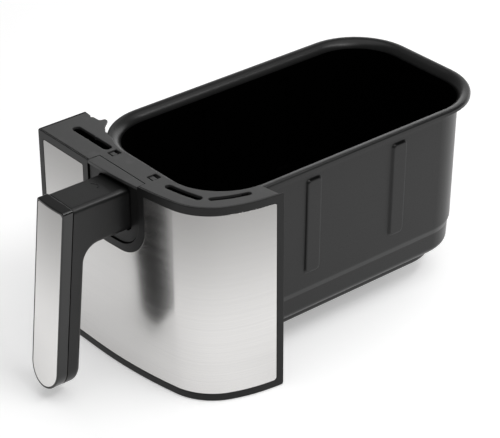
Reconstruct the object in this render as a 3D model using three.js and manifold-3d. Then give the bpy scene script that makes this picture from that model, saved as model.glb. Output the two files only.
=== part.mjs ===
// Right-hand drawer of a two-drawer air fryer: a deep-drawn pan with its crisper plate, carried by a
// plastic front housing with a steel fascia, and an L-shaped handle on a steel core.
// Millimetres, +Z up. The drawer is built from the left front bottom corner of its front panel, with
// +X to the user's right and +Y towards the back of the appliance, and is then moved so that the
// origin is the middle of the bottom of its bounding box.
import * as THREE from 'three';
import { mergeVertices } from 'three/addons/utils/BufferGeometryUtils.js';
import Module from 'manifold-3d';

// ---- Driving dimensions ----
const GAP = 0.3; // clearance between pieces that touch

// Front panel, seen from above: flat on the left, then three bends that sweep round the right corner
const FRONT_HEIGHT = 160;
const FRONT_FLAT = 63.2;
const FRONT_BENDS = [
  { radius: 390.8, turn: 12.39 },
  { radius: 43.1, turn: 54.54 },
  { radius: 116.7, turn: 15.72 },
];
const FRONT_TAIL = 11.56;
const FRONT_WIDTH = 187.3;
const BEND_STEP = 7; // degrees of arc for each flat
const FRAME_WALL = 3;
const SIDE_DEPTH = 42.6;
const TOP_REBATE = 1; // width of the frame's edge that stays level with the top cover
const BORDER = 5.7; // black border round the steel, less its gap
const BORDER_TOP = 6;

// Steel fascia
const STEEL = 0.8;
const STEEL_RECESS = 1.2;

// U-shaped opening for the handle, from the front
const U_CENTRE = 88.4;
const U_BORDER_HALF = 32.9;
const U_BORDER_BOTTOM = 101.5;
const U_BORDER_RADIUS = 25;
const U_HALF = 26.6;
const U_BOTTOM = 107.6;
const U_RADIUS = 20;
const BEZEL_FACE = 1.2;
const BEZEL_PLATE = 2.6;
const BEZEL_LIP = 3.5; // how far the bezel's rear flange laps the frame
const BEZEL_TOP_DEPTH = 10.5;
const U_REACH = [-2, 12]; // front and back of what cuts the U, past both faces of the bent panel

// Top cover
const COVER = 2.6;
const COVER_LAP = 1; // thickness of the cover where it laps the pan's rim

// Pan, inset measured inwards from the rim's outer edge
const RIM = { left: 18, right: 171.6, front: 23.7, back: 302, radius: 50, top: 158.7 };
const PAN_TIGHTEST = 36; // smallest corner radius of the pan's lower part
const PAN_BOTTOM = 19;
const SHEET = 1.2;
const WALL_TOP = { inset: 9.7, z: 146 };
const WALL_FOOT = { inset: 11.2, z: 54 };
const CREASE = { inset: 12.6, z: 47 };
const FOOT = { inset: 22.6, z: 26.5 };
const RIBS = [125.7, 209.2]; // centres of the ribs pressed outwards in each side wall
const RIB_WIDTH = 15.5;
const RIB_DEPTH = 1.8;
const RIB_BOTTOM = 64;
const RIB_TOP = 144;
const INNER_CUT = 4; // depth of the cut that hollows a rib from inside the pan

// Crisper plate
const PLATE_INSET = 19.5;
const PLATE_Z = 44;
const PLATE = 1.5;
const PLATE_SKIRT = 7;
const HOLE_RADIUS = 3.6;
const HOLE_PITCH = 17;
const LIFT_HOLE_RADIUS = 11;
const BUMPER_LENGTH = 24;

// Housing behind the front panel
const HOUSING_FLOOR = 3;
const HOUSING_WALL = 2;
const HOUSING_TOP = 154.6;
const HOUSING_INSET = 6.2;
const HOUSING_LEFT = 38.8;
const HOUSING_RIGHT = 69.4;
const WINDOW = { left: 57, right: 120, bottom: 62, top: 148 };
const BOSSES = [
  { x: 13, z: 24, from: 2, to: HOUSING_LEFT },
  { x: 13, z: 134, from: 2, to: HOUSING_LEFT },
  { x: 174, z: 24, from: 37, to: HOUSING_RIGHT },
  { x: 174, z: 134, from: 37, to: HOUSING_RIGHT },
];
const BOSS_RADIUS = 4.2;
const SCREW_RADIUS = 1.7;
const SCREW_HEAD = 3.4;
const SCREW_HEAD_HEIGHT = 2.2;
const ROUND = 16; // sides of small round parts

// Bracket on the pan's front wall
const BRACKET = { left: 60, right: 117, bottom: 66, top: 145, sheet: 2 };
const BRACKET_BACK = 31.1;
const BRACKET_NOSE = { left: 72, right: 105, bottom: 104, top: 144, front: 12.4 };
const STUD_RADIUS = 2;
const STUD_SPOTS = [[65.5, 76], [111.5, 76], [65.5, 135], [111.5, 135]];
const STUD_BACK = 33.2;

// Handle, leaning out by LEAN mm for each mm downwards
const HANDLE_CENTRE = 89.8;
const HANDLE_WIDTH = 32.4;
const HANDLE_TOP = 154.5;
const HANDLE_BOTTOM = 9.5;
const HANDLE_FACE = -53;
const LEAN = 0.1;
const GRIP_THICKNESS = 21.5;
const TRIM_THICKNESS = 9.6;
const ARM_BOTTOM = 120.5;
const ARM_BACK = 8.6;
const ARM_FILLET = 13;
const HANDLE_ROUND = 4;
const INLAY_BORDER = 1.4;
const INLAY_RECESS = 1.1;
const CORE_WIDTH = 18;
const CORE = 3;
const CORE_Z = 138;
const CORE_LOW = 34;
const CORE_TAB_LOW = 112;
const HANDLE_SCREW_SPOTS = [-5, 5];
const HANDLE_SCREW_Z = 122;
const GRIP_SCREW_Z = [58, 96];

// ---- Finishes ----
const finish = (color, roughness, metalness) => ({ color, roughness, metalness });
const BLACK_PLASTIC = finish(0x2e2e2d, 0.5, 0);
const COVER_PLASTIC = finish(0x545456, 0.5, 0);
const GLOSS_PLASTIC = finish(0x1c1c1d, 0.15, 0);
const NON_STICK = finish(0x3a3a3b, 0.45, 0.2);
const BRUSHED_STEEL = finish(0xc9c8c4, 0.35, 1);
const ZINC_STEEL = finish(0xa5a7aa, 0.4, 1);
const SILICONE = finish(0x202022, 0.7, 0);

// ---- Solids ----
const wasm = await Module();
wasm.setup();

function solid(geometry) {
  const bare = geometry.clone();
  bare.deleteAttribute('normal');
  bare.deleteAttribute('uv');
  const merged = mergeVertices(bare, 1e-4);
  const mesh = new wasm.Mesh({
    numProp: 3,
    vertProperties: new Float32Array(merged.attributes.position.array),
    triVerts: new Uint32Array(merged.index.array),
  });
  return new wasm.Manifold(mesh);
}

function shell(body) {
  const mesh = body.getMesh();
  const geometry = new THREE.BufferGeometry();
  geometry.setAttribute('position', new THREE.BufferAttribute(new Float32Array(mesh.vertProperties), 3));
  geometry.setIndex(new THREE.BufferAttribute(new Uint32Array(mesh.triVerts), 1));
  geometry.computeVertexNormals();
  return geometry;
}

// A block between two corners
function block(x0, x1, y0, y1, z0, z1) {
  const geometry = new THREE.BoxGeometry(x1 - x0, y1 - y0, z1 - z0);
  return geometry.translate((x0 + x1) / 2, (y0 + y1) / 2, (z0 + z1) / 2);
}

// A round bar along +Y
function rod(x, z, radius, y0, y1, sides = ROUND) {
  return new THREE.CylinderGeometry(radius, radius, y1 - y0, sides).translate(x, (y0 + y1) / 2, z);
}

// An outline in plan, carried up from z0 to z1
function raise(outline, z0, z1) {
  const options = { depth: z1 - z0, bevelEnabled: false, curveSegments: 8 };
  return new THREE.ExtrudeGeometry(outline, options).translate(0, 0, z0);
}

// An outline seen from the front, its second coordinate upwards, carried back from y0 to y1
function carryBack(outline, y0, y1) {
  const options = { depth: y1 - y0, bevelEnabled: false, curveSegments: 8 };
  return new THREE.ExtrudeGeometry(outline, options).rotateX(Math.PI / 2).translate(0, y1, 0);
}

// An outline seen from the right, (y, z), carried sideways from x0 to x1
function carryAcross(outline, x0, x1, extra = {}) {
  const options = { depth: x1 - x0, bevelEnabled: false, curveSegments: 8, ...extra };
  const geometry = new THREE.ExtrudeGeometry(outline, options);
  const turn = new THREE.Matrix4().makeBasis(
    new THREE.Vector3(0, 1, 0), new THREE.Vector3(0, 0, 1), new THREE.Vector3(1, 0, 0));
  return geometry.applyMatrix4(turn).translate(x0, 0, 0);
}

// Points of an arc, angles in degrees
function arc(cx, cy, radius, from, to, steps) {
  const points = [];
  for (let i = 0; i <= steps; i += 1) {
    const angle = THREE.MathUtils.degToRad(from + ((to - from) * i) / steps);
    points.push(new THREE.Vector2(cx + radius * Math.cos(angle), cy + radius * Math.sin(angle)));
  }
  return points;
}

// ---- Outlines shared by several pieces ----

// The front panel's line in plan, at a distance behind its outer face
function frontLine(inset, trimStart = 0, trimEnd = 0) {
  const line = [new THREE.Vector2(trimStart, inset), new THREE.Vector2(FRONT_FLAT, inset)];
  let x = FRONT_FLAT;
  let y = 0;
  let heading = 0;
  for (const { radius, turn } of FRONT_BENDS) {
    const cx = x - radius * Math.sin(THREE.MathUtils.degToRad(heading));
    const cy = y + radius * Math.cos(THREE.MathUtils.degToRad(heading));
    const steps = Math.ceil(turn / BEND_STEP);
    line.push(...arc(cx, cy, radius - inset, heading - 90, heading + turn - 90, steps).slice(1));
    heading += turn;
    x = cx + radius * Math.sin(THREE.MathUtils.degToRad(heading));
    y = cy - radius * Math.cos(THREE.MathUtils.degToRad(heading));
  }
  const along = new THREE.Vector2(1, 0).rotateAround(new THREE.Vector2(), THREE.MathUtils.degToRad(heading));
  const tail = FRONT_TAIL - trimEnd;
  line.push(new THREE.Vector2(x + tail * along.x - inset * along.y, y + tail * along.y + inset * along.x));
  return line;
}

function frontStrip(outer, inner, trimStart = 0, trimEnd = 0) {
  const back = frontLine(inner, trimStart, trimEnd).reverse();
  return new THREE.Shape([...frontLine(outer, trimStart, trimEnd), ...back]);
}

// A U seen from the front, open at the top
function uOutline(half, bottom, radius, top = FRONT_HEIGHT + 1) {
  const left = U_CENTRE - half;
  const right = U_CENTRE + half;
  return new THREE.Shape([
    new THREE.Vector2(right, top),
    new THREE.Vector2(left, top),
    ...arc(left + radius, bottom + radius, radius, 180, 270, 6),
    ...arc(right - radius, bottom + radius, radius, 270, 360, 6),
  ]);
}

// The pan's outline at an inset from the rim's outer edge
function panRing(inset) {
  const radius = Math.max(RIM.radius - inset, PAN_TIGHTEST);
  const left = RIM.left + inset + radius;
  const right = RIM.right - inset - radius;
  const front = RIM.front + inset + radius;
  const back = RIM.back - inset - radius;
  return [
    ...arc(right, back, radius, 0, 90, 7),
    ...arc(left, back, radius, 90, 180, 7),
    ...arc(left, front, radius, 180, 270, 7),
    ...arc(right, front, radius, 270, 360, 7),
  ];
}

// A body skinned over rings of equal count, closed by a flat cap at each end
function skin(rings) {
  const points = rings.flatMap(({ ring, z }) => ring.map((p) => [p.x, p.y, z])).flat();
  const count = rings[0].ring.length;
  const faces = [];
  for (let level = 0; level + 1 < rings.length; level += 1) {
    for (let i = 0; i < count; i += 1) {
      const a = level * count + i;
      const b = level * count + ((i + 1) % count);
      faces.push(a, b, b + count, a, b + count, a + count);
    }
  }
  const last = (rings.length - 1) * count;
  for (const [p, q, r] of THREE.ShapeUtils.triangulateShape(rings[0].ring, [])) {
    faces.push(r, q, p);
  }
  for (const [p, q, r] of THREE.ShapeUtils.triangulateShape(rings[rings.length - 1].ring, [])) {
    faces.push(last + p, last + q, last + r);
  }
  const geometry = new THREE.BufferGeometry();
  geometry.setAttribute('position', new THREE.Float32BufferAttribute(points, 3));
  geometry.setIndex(faces);
  return geometry;
}

// ---- Pan group ----

function panGeometry() {
  const outside = [
    [FOOT.inset + 1.6, PAN_BOTTOM], [FOOT.inset + 0.4, PAN_BOTTOM + 1.2], [FOOT.inset, FOOT.z],
    [19.6, 28.2], [16.1, 32.4], [13.9, 38.4], [CREASE.inset, CREASE.z],
    [11.6, 50.4], [WALL_FOOT.inset, WALL_FOOT.z], [WALL_TOP.inset, WALL_TOP.z],
    [9.4, 153], [8.2, 156.2], [6.4, RIM.top - SHEET],
    [1.6, RIM.top - SHEET], [1.5, RIM.top - 3.5], [0.3, RIM.top - 3.5],
  ];
  const inside = [
    [0, RIM.top - 1.2], [0.9, RIM.top], [6.3, RIM.top], [8.6, 157.5], [10.2, 155],
    [WALL_TOP.inset + SHEET, WALL_TOP.z], [WALL_FOOT.inset + SHEET, WALL_FOOT.z + 0.4],
    [12.9, 51], [CREASE.inset + SHEET, CREASE.z + 0.5], [15.1, 38.9], [17.2, 33.3],
    [20.4, 29.3], [FOOT.inset + SHEET, 27.6], [FOOT.inset + SHEET + 0.3, PAN_BOTTOM + 2.4],
    [FOOT.inset + 2.4, PAN_BOTTOM + SHEET],
  ];
  let pan = solid(skin([...outside, ...inside].map(([inset, z]) => ({ ring: panRing(inset), z }))));
  const draft = Math.atan2(WALL_FOOT.inset - WALL_TOP.inset, WALL_TOP.z - WALL_FOOT.z);
  const middle = (RIB_BOTTOM + RIB_TOP) / 2;
  const wallShare = (WALL_TOP.z - middle) / (WALL_TOP.z - WALL_FOOT.z);
  const inset = WALL_TOP.inset + wallShare * (WALL_FOOT.inset - WALL_TOP.inset);
  const height = RIB_TOP - RIB_BOTTOM;
  const placed = (shape, side, y) => {
    const x = side > 0 ? RIM.right - inset : RIM.left + inset;
    return solid(shape.rotateY(side * draft).translate(x, y, middle));
  };
  for (const side of [-1, 1]) {
    for (const y of RIBS) {
      const outer = new THREE.BoxGeometry(RIB_DEPTH + SHEET / 2, RIB_WIDTH, height);
      pan = pan.add(placed(outer.translate(side * (RIB_DEPTH / 2 - SHEET / 4), 0, 0), side, y));
      const inner = new THREE.BoxGeometry(INNER_CUT, RIB_WIDTH - 2 * SHEET, height - 2 * SHEET);
      pan = pan.subtract(placed(inner.translate(side * (RIB_DEPTH - SHEET - INNER_CUT / 2), 0, 0), side, y));
    }
  }
  return shell(pan);
}

function bracketGeometry() {
  const { left, right, bottom, top, sheet } = BRACKET;
  const nose = BRACKET_NOSE;
  let bracket = solid(block(left, right, BRACKET_BACK, BRACKET_BACK + sheet, bottom, top));
  bracket = bracket.add(solid(block(nose.left, nose.left + sheet, nose.front, BRACKET_BACK + 1, nose.bottom, nose.top)));
  bracket = bracket.add(solid(block(nose.right - sheet, nose.right, nose.front, BRACKET_BACK + 1, nose.bottom, nose.top)));
  bracket = bracket.add(solid(block(nose.left, nose.right, nose.front, nose.front + sheet, nose.bottom, nose.top)));
  for (const [x, z] of STUD_SPOTS) {
    bracket = bracket.subtract(solid(rod(x, z, STUD_RADIUS + GAP, BRACKET_BACK - 1, BRACKET_BACK + sheet + 1)));
  }
  for (const offset of HANDLE_SCREW_SPOTS) {
    const hole = rod(HANDLE_CENTRE + offset, HANDLE_SCREW_Z, SCREW_RADIUS + GAP, nose.front - 1, nose.front + 3);
    bracket = bracket.subtract(solid(hole));
  }
  return shell(bracket);
}

function studGeometry([x, z]) {
  return rod(x, z, STUD_RADIUS, BRACKET_BACK - 5, STUD_BACK);
}

function nutGeometry([x, z]) {
  const body = solid(rod(x, z, 4, BRACKET_BACK - GAP - 3.2, BRACKET_BACK - GAP, 6));
  return shell(body.subtract(solid(rod(x, z, STUD_RADIUS + GAP, BRACKET_BACK - 6, BRACKET_BACK))));
}

// ---- Crisper ----

function crisperGeometry() {
  const ring = panRing(PLATE_INSET);
  const inner = panRing(PLATE_INSET + PLATE);
  const levels = [
    { ring: inner, z: PLATE_Z - PLATE }, { ring: inner, z: PLATE_Z - PLATE_SKIRT },
    { ring, z: PLATE_Z - PLATE_SKIRT }, { ring, z: PLATE_Z - 1 }, { ring: panRing(PLATE_INSET + 1), z: PLATE_Z },
  ];
  let plate = solid(skin(levels));
  const cx = (RIM.left + RIM.right) / 2;
  const cy = (RIM.front + RIM.back) / 2;
  const drill = (x, y, radius, sides) => {
    const bit = new THREE.CylinderGeometry(radius, radius, 8, sides).rotateX(Math.PI / 2);
    plate = plate.subtract(solid(bit.translate(x, y, PLATE_Z)));
  };
  for (let row = -6; row <= 6; row += 1) {
    const shift = row % 2 === 0 ? 0 : HOLE_PITCH / 2;
    for (let column = -3; column <= 3; column += 1) {
      const x = column * HOLE_PITCH + shift;
      const y = row * HOLE_PITCH;
      const inCorner = Math.abs(x) > 32 && Math.abs(y) > 92;
      const inLift = Math.hypot(x, y) < LIFT_HOLE_RADIUS + HOLE_RADIUS + 1;
      if (Math.abs(x) < 52 && !inCorner && !inLift) {
        drill(cx + x, cy + y, HOLE_RADIUS, 8);
      }
    }
  }
  drill(cx, cy, LIFT_HOLE_RADIUS, 20);
  return shell(plate);
}

// Silicone clips on the plate's edge, one in the middle of each side
function bumperGeometry(side) {
  const cx = (RIM.left + RIM.right) / 2;
  const cy = (RIM.front + RIM.back) / 2;
  const foot = PLATE_Z - PLATE_SKIRT - 1;
  const clip = new THREE.Shape([
    new THREE.Vector2(GAP, foot), new THREE.Vector2(2.5, foot), new THREE.Vector2(4.2, PLATE_Z),
    new THREE.Vector2(4.2, PLATE_Z + 2), new THREE.Vector2(2.5, PLATE_Z + 3.6), new THREE.Vector2(-3, PLATE_Z + 2.4),
    new THREE.Vector2(-3, PLATE_Z + GAP), new THREE.Vector2(GAP, PLATE_Z + GAP),
  ]);
  const half = BUMPER_LENGTH / 2;
  const geometry = new THREE.ExtrudeGeometry(clip, { depth: BUMPER_LENGTH, bevelEnabled: false });
  geometry.translate(0, 0, -half).rotateX(Math.PI / 2);
  const alongX = (RIM.right - RIM.left) / 2 - PLATE_INSET;
  const alongY = (RIM.back - RIM.front) / 2 - PLATE_INSET;
  const place = {
    right: [0, cx + alongX, cy],
    back: [90, cx, cy + alongY],
    left: [180, cx - alongX, cy],
    front: [270, cx, cy - alongY],
  }[side];
  return geometry.rotateZ(THREE.MathUtils.degToRad(place[0])).translate(place[1], place[2], 0);
}

// ---- Front housing ----

function frameGeometry() {
  let frame = solid(raise(frontStrip(0, FRAME_WALL), 0, FRONT_HEIGHT));
  frame = frame.add(solid(block(0, FRAME_WALL, 1, SIDE_DEPTH, 0, FRONT_HEIGHT)));
  for (const { x, z, from, to } of BOSSES) {
    frame = frame.add(solid(rod(x, z, BOSS_RADIUS, from, to - GAP)));
  }
  const steelPocket = solid(raise(frontStrip(-1, STEEL_RECESS, BORDER - 1, BORDER), BORDER, FRONT_HEIGHT - BORDER_TOP));
  const uLand = solid(carryBack(uOutline(U_BORDER_HALF, U_BORDER_BOTTOM, U_BORDER_RADIUS), ...U_REACH));
  frame = frame.subtract(steelPocket.subtract(uLand));
  frame = frame.subtract(solid(carryBack(uOutline(U_HALF + GAP, U_BOTTOM - GAP, U_RADIUS), ...U_REACH)));
  const rebate = frontStrip(TOP_REBATE, FRAME_WALL + 1, -1, -1);
  frame = frame.subtract(solid(raise(rebate, FRONT_HEIGHT - COVER - GAP, FRONT_HEIGHT + 1)));
  const sideRebate = block(TOP_REBATE, FRAME_WALL + 1, 1, SIDE_DEPTH + 1, FRONT_HEIGHT - COVER - GAP, FRONT_HEIGHT + 1);
  frame = frame.subtract(solid(sideRebate));
  for (const { x, z, to } of BOSSES) {
    frame = frame.subtract(solid(rod(x, z, SCREW_RADIUS + GAP, to - 14, to + 1)));
  }
  return shell(frame);
}

function fasciaGeometry() {
  const strip = frontStrip(0.1, 0.1 + STEEL, BORDER - 1 + GAP, BORDER + GAP);
  const sheet = solid(raise(strip, BORDER + GAP, FRONT_HEIGHT - BORDER_TOP - GAP));
  const cut = uOutline(U_BORDER_HALF + GAP, U_BORDER_BOTTOM - GAP, U_BORDER_RADIUS);
  return shell(sheet.subtract(solid(carryBack(cut, ...U_REACH))));
}

function bezelGeometry() {
  const inner = FRONT_HEIGHT - COVER;
  const back = FRAME_WALL + BEZEL_PLATE;
  const bent = (front, depth, low) => solid(raise(frontStrip(front, depth), low, FRONT_HEIGHT));
  const u = uOutline(U_HALF, U_BOTTOM, U_RADIUS);
  let bezel = bent(BEZEL_FACE, back, 0).intersect(solid(carryBack(u, ...U_REACH)));
  const flange = uOutline(U_HALF + BEZEL_LIP, U_BOTTOM - BEZEL_LIP, U_RADIUS, inner - 2);
  bezel = bezel.add(bent(FRAME_WALL + GAP, back, 0).intersect(solid(carryBack(flange, ...U_REACH))));
  const shelf = block(U_CENTRE - U_HALF, U_CENTRE + U_HALF, -1, BEZEL_TOP_DEPTH, inner, FRONT_HEIGHT);
  bezel = bezel.add(bent(0, BEZEL_TOP_DEPTH + 1, inner).intersect(solid(shelf)));
  for (const x of SNAP_WINDOWS) {
    bezel = bezel.add(solid(block(x - 2.4, x + 2.4, back, 22.5, inner - 3.2, inner - 0.6)));
    bezel = bezel.add(solid(block(x - 2.4, x + 2.4, 18.5, 22.5, inner - 3.2, FRONT_HEIGHT - 0.8)));
  }
  const half = HANDLE_WIDTH / 2 + GAP;
  const through = block(HANDLE_CENTRE - half, HANDLE_CENTRE + half, -1, 12, ARM_BOTTOM - GAP, HANDLE_TOP + GAP);
  return shell(bezel.subtract(solid(through)));
}

// Centres across of the two windows that show the bezel's snap hooks
const SNAP_WINDOWS = [65.2, 111.6];
const SNAP_WINDOW = { half: 3.6, front: 17, back: 25 };

// Long round-ended slots along a bent line
function slot(points, width) {
  const along = new THREE.CatmullRomCurve3(points.map(([x, y]) => new THREE.Vector3(x, y, 0)));
  const line = along.getPoints(6);
  const side = (sign) => line.map((p, i) => {
    const t = along.getTangent(i / 6);
    return new THREE.Vector2(p.x - sign * t.y * width / 2, p.y + sign * t.x * width / 2);
  });
  const cap = (p, t, turn) => {
    const angle = THREE.MathUtils.radToDeg(Math.atan2(t.y, t.x)) + turn;
    return arc(p.x, p.y, width / 2, angle - 90, angle + 90, 6).slice(1, -1);
  };
  const end = cap(line[6], along.getTangent(1), 0);
  const start = cap(line[0], along.getTangent(0), 180);
  return new THREE.Shape([...side(-1), ...end, ...side(1).reverse(), ...start]);
}

const VENTS = [
  { points: [[18.5, 21.8], [37, 21.8], [55, 21.8]], width: 7 },
  { points: [[129, 20.8], [142, 23.2], [154.5, 26.9]], width: 5.6 },
  { points: [[161.5, 33], [167.6, 44.5], [171.6, 57]], width: 4.8 },
];

function coverGeometry() {
  const edge = TOP_REBATE + GAP;
  const front = frontLine(edge, edge, 3.4);
  const rimCentre = RIM.front + RIM.radius;
  const lap = 4;
  const lapRight = arc(RIM.right - RIM.radius, rimCentre, RIM.radius - lap, -3, -90, 12);
  const lapLeft = arc(RIM.left + RIM.radius, rimCentre, RIM.radius - lap, -90, -118, 4);
  const tongues = [[21.8, 46.8], [19, 46.6], [18, 42.3], [10.5, 41.9], [10.2, 39.8], [7.4, 41.8], [edge, 42.4]];
  const outline = new THREE.Shape([
    ...front, new THREE.Vector2(170.8, 71.1), ...lapRight, ...lapLeft,
    new THREE.Vector2(36, 34.6), new THREE.Vector2(27, 40.7), ...tongues.map(([x, y]) => new THREE.Vector2(x, y)),
  ]);
  let cover = solid(raise(outline, FRONT_HEIGHT - COVER, FRONT_HEIGHT));
  const rimRoom = new THREE.Shape(panRing(-2 * GAP));
  cover = cover.subtract(solid(raise(rimRoom, FRONT_HEIGHT - COVER - 1, FRONT_HEIGHT - COVER_LAP)));
  const gap = block(U_CENTRE - U_HALF - GAP, U_CENTRE + U_HALF + GAP, -1, BEZEL_TOP_DEPTH + GAP, 150, 165);
  cover = cover.subtract(solid(gap));
  for (const x of SNAP_WINDOWS) {
    const { half, front: near, back } = SNAP_WINDOW;
    cover = cover.subtract(solid(block(x - half, x + half, near, back, 150, 165)));
  }
  for (const { points, width } of VENTS) {
    cover = cover.subtract(solid(raise(slot(points, width), 150, 165)));
  }
  return shell(cover);
}

// The housing's back line, hugging the pan, at a step behind its front face
function housingLine(step) {
  const radius = RIM.radius - HOUSING_INSET - step;
  const cy = RIM.front + RIM.radius;
  const left = RIM.left + RIM.radius;
  const right = RIM.right - RIM.radius;
  const from = THREE.MathUtils.radToDeg(Math.asin((HOUSING_LEFT + step - cy) / radius));
  const to = THREE.MathUtils.radToDeg(Math.asin((HOUSING_RIGHT + step - cy) / radius));
  const edge = FRAME_WALL + GAP;
  return [
    new THREE.Vector2(edge, HOUSING_LEFT + step),
    ...arc(left, cy, radius, 180 - from, 270, 6),
    ...arc(right, cy, radius, -90, to, 10),
    new THREE.Vector2(182.2, HOUSING_RIGHT + step),
  ];
}

function rearCoverGeometry() {
  const wall = new THREE.Shape([...housingLine(0), ...housingLine(HOUSING_WALL).reverse()]);
  const inner = frontLine(FRAME_WALL + GAP, FRAME_WALL + GAP, FRONT_TAIL - 3);
  const floor = new THREE.Shape([...inner, ...housingLine(HOUSING_WALL).reverse()]);
  let rear = solid(raise(wall, HOUSING_FLOOR, HOUSING_TOP));
  rear = rear.add(solid(raise(floor, HOUSING_FLOOR, HOUSING_FLOOR + HOUSING_WALL)));
  const { left, right, bottom, top } = WINDOW;
  rear = rear.subtract(solid(block(left, right, 20, 50, bottom, top)));
  for (const { x, z, to } of BOSSES) {
    rear = rear.subtract(solid(rod(x, z, SCREW_RADIUS + GAP, to - 5, to + 6)));
  }
  return shell(rear);
}

// A pan-head screw along Y, its head's seat at y and its shank going towards -Y
function screw(x, y, z, length) {
  const profile = [
    [0, -length], [SCREW_RADIUS * 0.6, -length], [SCREW_RADIUS, 1.5 - length], [SCREW_RADIUS, GAP],
    [SCREW_HEAD, GAP], [SCREW_HEAD, 1.2], [SCREW_HEAD * 0.7, SCREW_HEAD_HEIGHT], [0, SCREW_HEAD_HEIGHT],
  ];
  const lathe = new THREE.LatheGeometry(profile.map(([r, h]) => new THREE.Vector2(r, h)), 12);
  return lathe.translate(x, y, z);
}

function housingScrewGeometry({ x, z, to }) {
  return screw(x, to + HOUSING_WALL, z, 13);
}

// ---- Handle ----

const faceY = (z) => HANDLE_FACE - LEAN * (HANDLE_TOP - z);
const HANDLE_LEFT = HANDLE_CENTRE - HANDLE_WIDTH / 2;
const HANDLE_RIGHT = HANDLE_CENTRE + HANDLE_WIDTH / 2;

// The grip seen square on to its face: square top, round bottom; inset shrinks it all round
function gripOutline(inset, top) {
  const radius = HANDLE_WIDTH / 2 - inset;
  const bottom = HANDLE_BOTTOM + HANDLE_WIDTH / 2;
  return new THREE.Shape([
    new THREE.Vector2(HANDLE_CENTRE + radius, top),
    new THREE.Vector2(HANDLE_CENTRE - radius, top),
    ...arc(HANDLE_CENTRE, bottom, radius, 180, 360, 14),
  ]);
}

// A layer of the grip between two depths behind its face
function gripLayer(inset, front, back, top = HANDLE_TOP - inset) {
  const geometry = carryBack(gripOutline(inset, top), HANDLE_FACE + front, HANDLE_FACE + back);
  const lean = new THREE.Matrix4().makeShear(0, 0, 0, 0, 0, LEAN);
  return geometry.translate(0, 0, -HANDLE_TOP).applyMatrix4(lean).translate(0, 0, HANDLE_TOP);
}

function handleSide() {
  const low = HANDLE_BOTTOM - 1;
  const rear = (z) => faceY(z) + GRIP_THICKNESS;
  const ahead = (z) => faceY(z) - 10;
  const filletY = rear(ARM_BOTTOM - ARM_FILLET) + ARM_FILLET;
  return new THREE.Shape([
    new THREE.Vector2(ARM_BACK, ARM_BOTTOM),
    new THREE.Vector2(ARM_BACK, HANDLE_TOP),
    new THREE.Vector2(ahead(HANDLE_TOP), HANDLE_TOP),
    new THREE.Vector2(ahead(low), low),
    ...arc(rear(low + 9) - 9, low + 9, 9, 270, 360, 4),
    ...arc(filletY, ARM_BOTTOM - ARM_FILLET, ARM_FILLET, 180, 90, 6),
  ]);
}

// The core's side view, grown by some clearance
function coreShape(extra) {
  const t = CORE / 2 + extra;
  const bend = faceY(CORE_Z) + TRIM_THICKNESS + 5;
  const low = CORE_LOW - extra;
  const lowY = bend - LEAN * (CORE_Z - low);
  const tab = ARM_BACK + GAP + CORE / 2;
  return new THREE.Shape([
    new THREE.Vector2(tab + t, CORE_Z + t), new THREE.Vector2(bend - t, CORE_Z + t),
    new THREE.Vector2(lowY - t, low), new THREE.Vector2(lowY + t, low),
    new THREE.Vector2(bend + t, CORE_Z - t), new THREE.Vector2(tab - t, CORE_Z - t),
    new THREE.Vector2(tab - t, CORE_TAB_LOW - extra), new THREE.Vector2(tab + t, CORE_TAB_LOW - extra),
  ]);
}

function handleBodyGeometry() {
  const round = {
    bevelEnabled: true, bevelSize: HANDLE_ROUND, bevelThickness: HANDLE_ROUND, bevelOffset: -HANDLE_ROUND,
    bevelSegments: 3,
  };
  const side = carryAcross(handleSide(), HANDLE_LEFT + HANDLE_ROUND, HANDLE_RIGHT - HANDLE_ROUND, round);
  let body = solid(side).intersect(solid(gripLayer(0, TRIM_THICKNESS + GAP, 90, HANDLE_TOP + 40)));
  const half = CORE_WIDTH / 2 + GAP;
  body = body.subtract(solid(carryAcross(coreShape(GAP), HANDLE_CENTRE - half, HANDLE_CENTRE + half)));
  const bend = faceY(CORE_Z) + TRIM_THICKNESS + 5;
  const mouth = new THREE.Shape([
    new THREE.Vector2(bend - 12, CORE_Z + CORE / 2 + GAP),
    new THREE.Vector2(bend - 12 - LEAN * (CORE_Z - CORE_LOW), CORE_LOW - GAP),
    new THREE.Vector2(bend - LEAN * (CORE_Z - CORE_LOW), CORE_LOW - GAP),
    new THREE.Vector2(bend, CORE_Z + CORE / 2 + GAP),
  ]);
  body = body.subtract(solid(carryAcross(mouth, HANDLE_CENTRE - half, HANDLE_CENTRE + half)));
  for (const z of GRIP_SCREW_Z) {
    const rear = faceY(z) + GRIP_THICKNESS;
    body = body.subtract(solid(rod(HANDLE_CENTRE, z, SCREW_RADIUS + GAP, rear - 20, rear + 2)));
    body = body.subtract(solid(rod(HANDLE_CENTRE, z, SCREW_HEAD + GAP, rear - 3, rear + 5)));
  }
  return shell(body);
}

function handleTrimGeometry() {
  let trim = solid(gripLayer(0, 0, TRIM_THICKNESS));
  trim = trim.subtract(solid(gripLayer(INLAY_BORDER - GAP, -1, INLAY_RECESS)));
  for (const z of GRIP_SCREW_Z) {
    const seam = faceY(z) + TRIM_THICKNESS;
    trim = trim.subtract(solid(rod(HANDLE_CENTRE, z, SCREW_RADIUS + GAP, seam - 5, seam + 2)));
  }
  return shell(trim);
}

function handleInlayGeometry() {
  return gripLayer(INLAY_BORDER, 0.1, STEEL);
}

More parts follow.
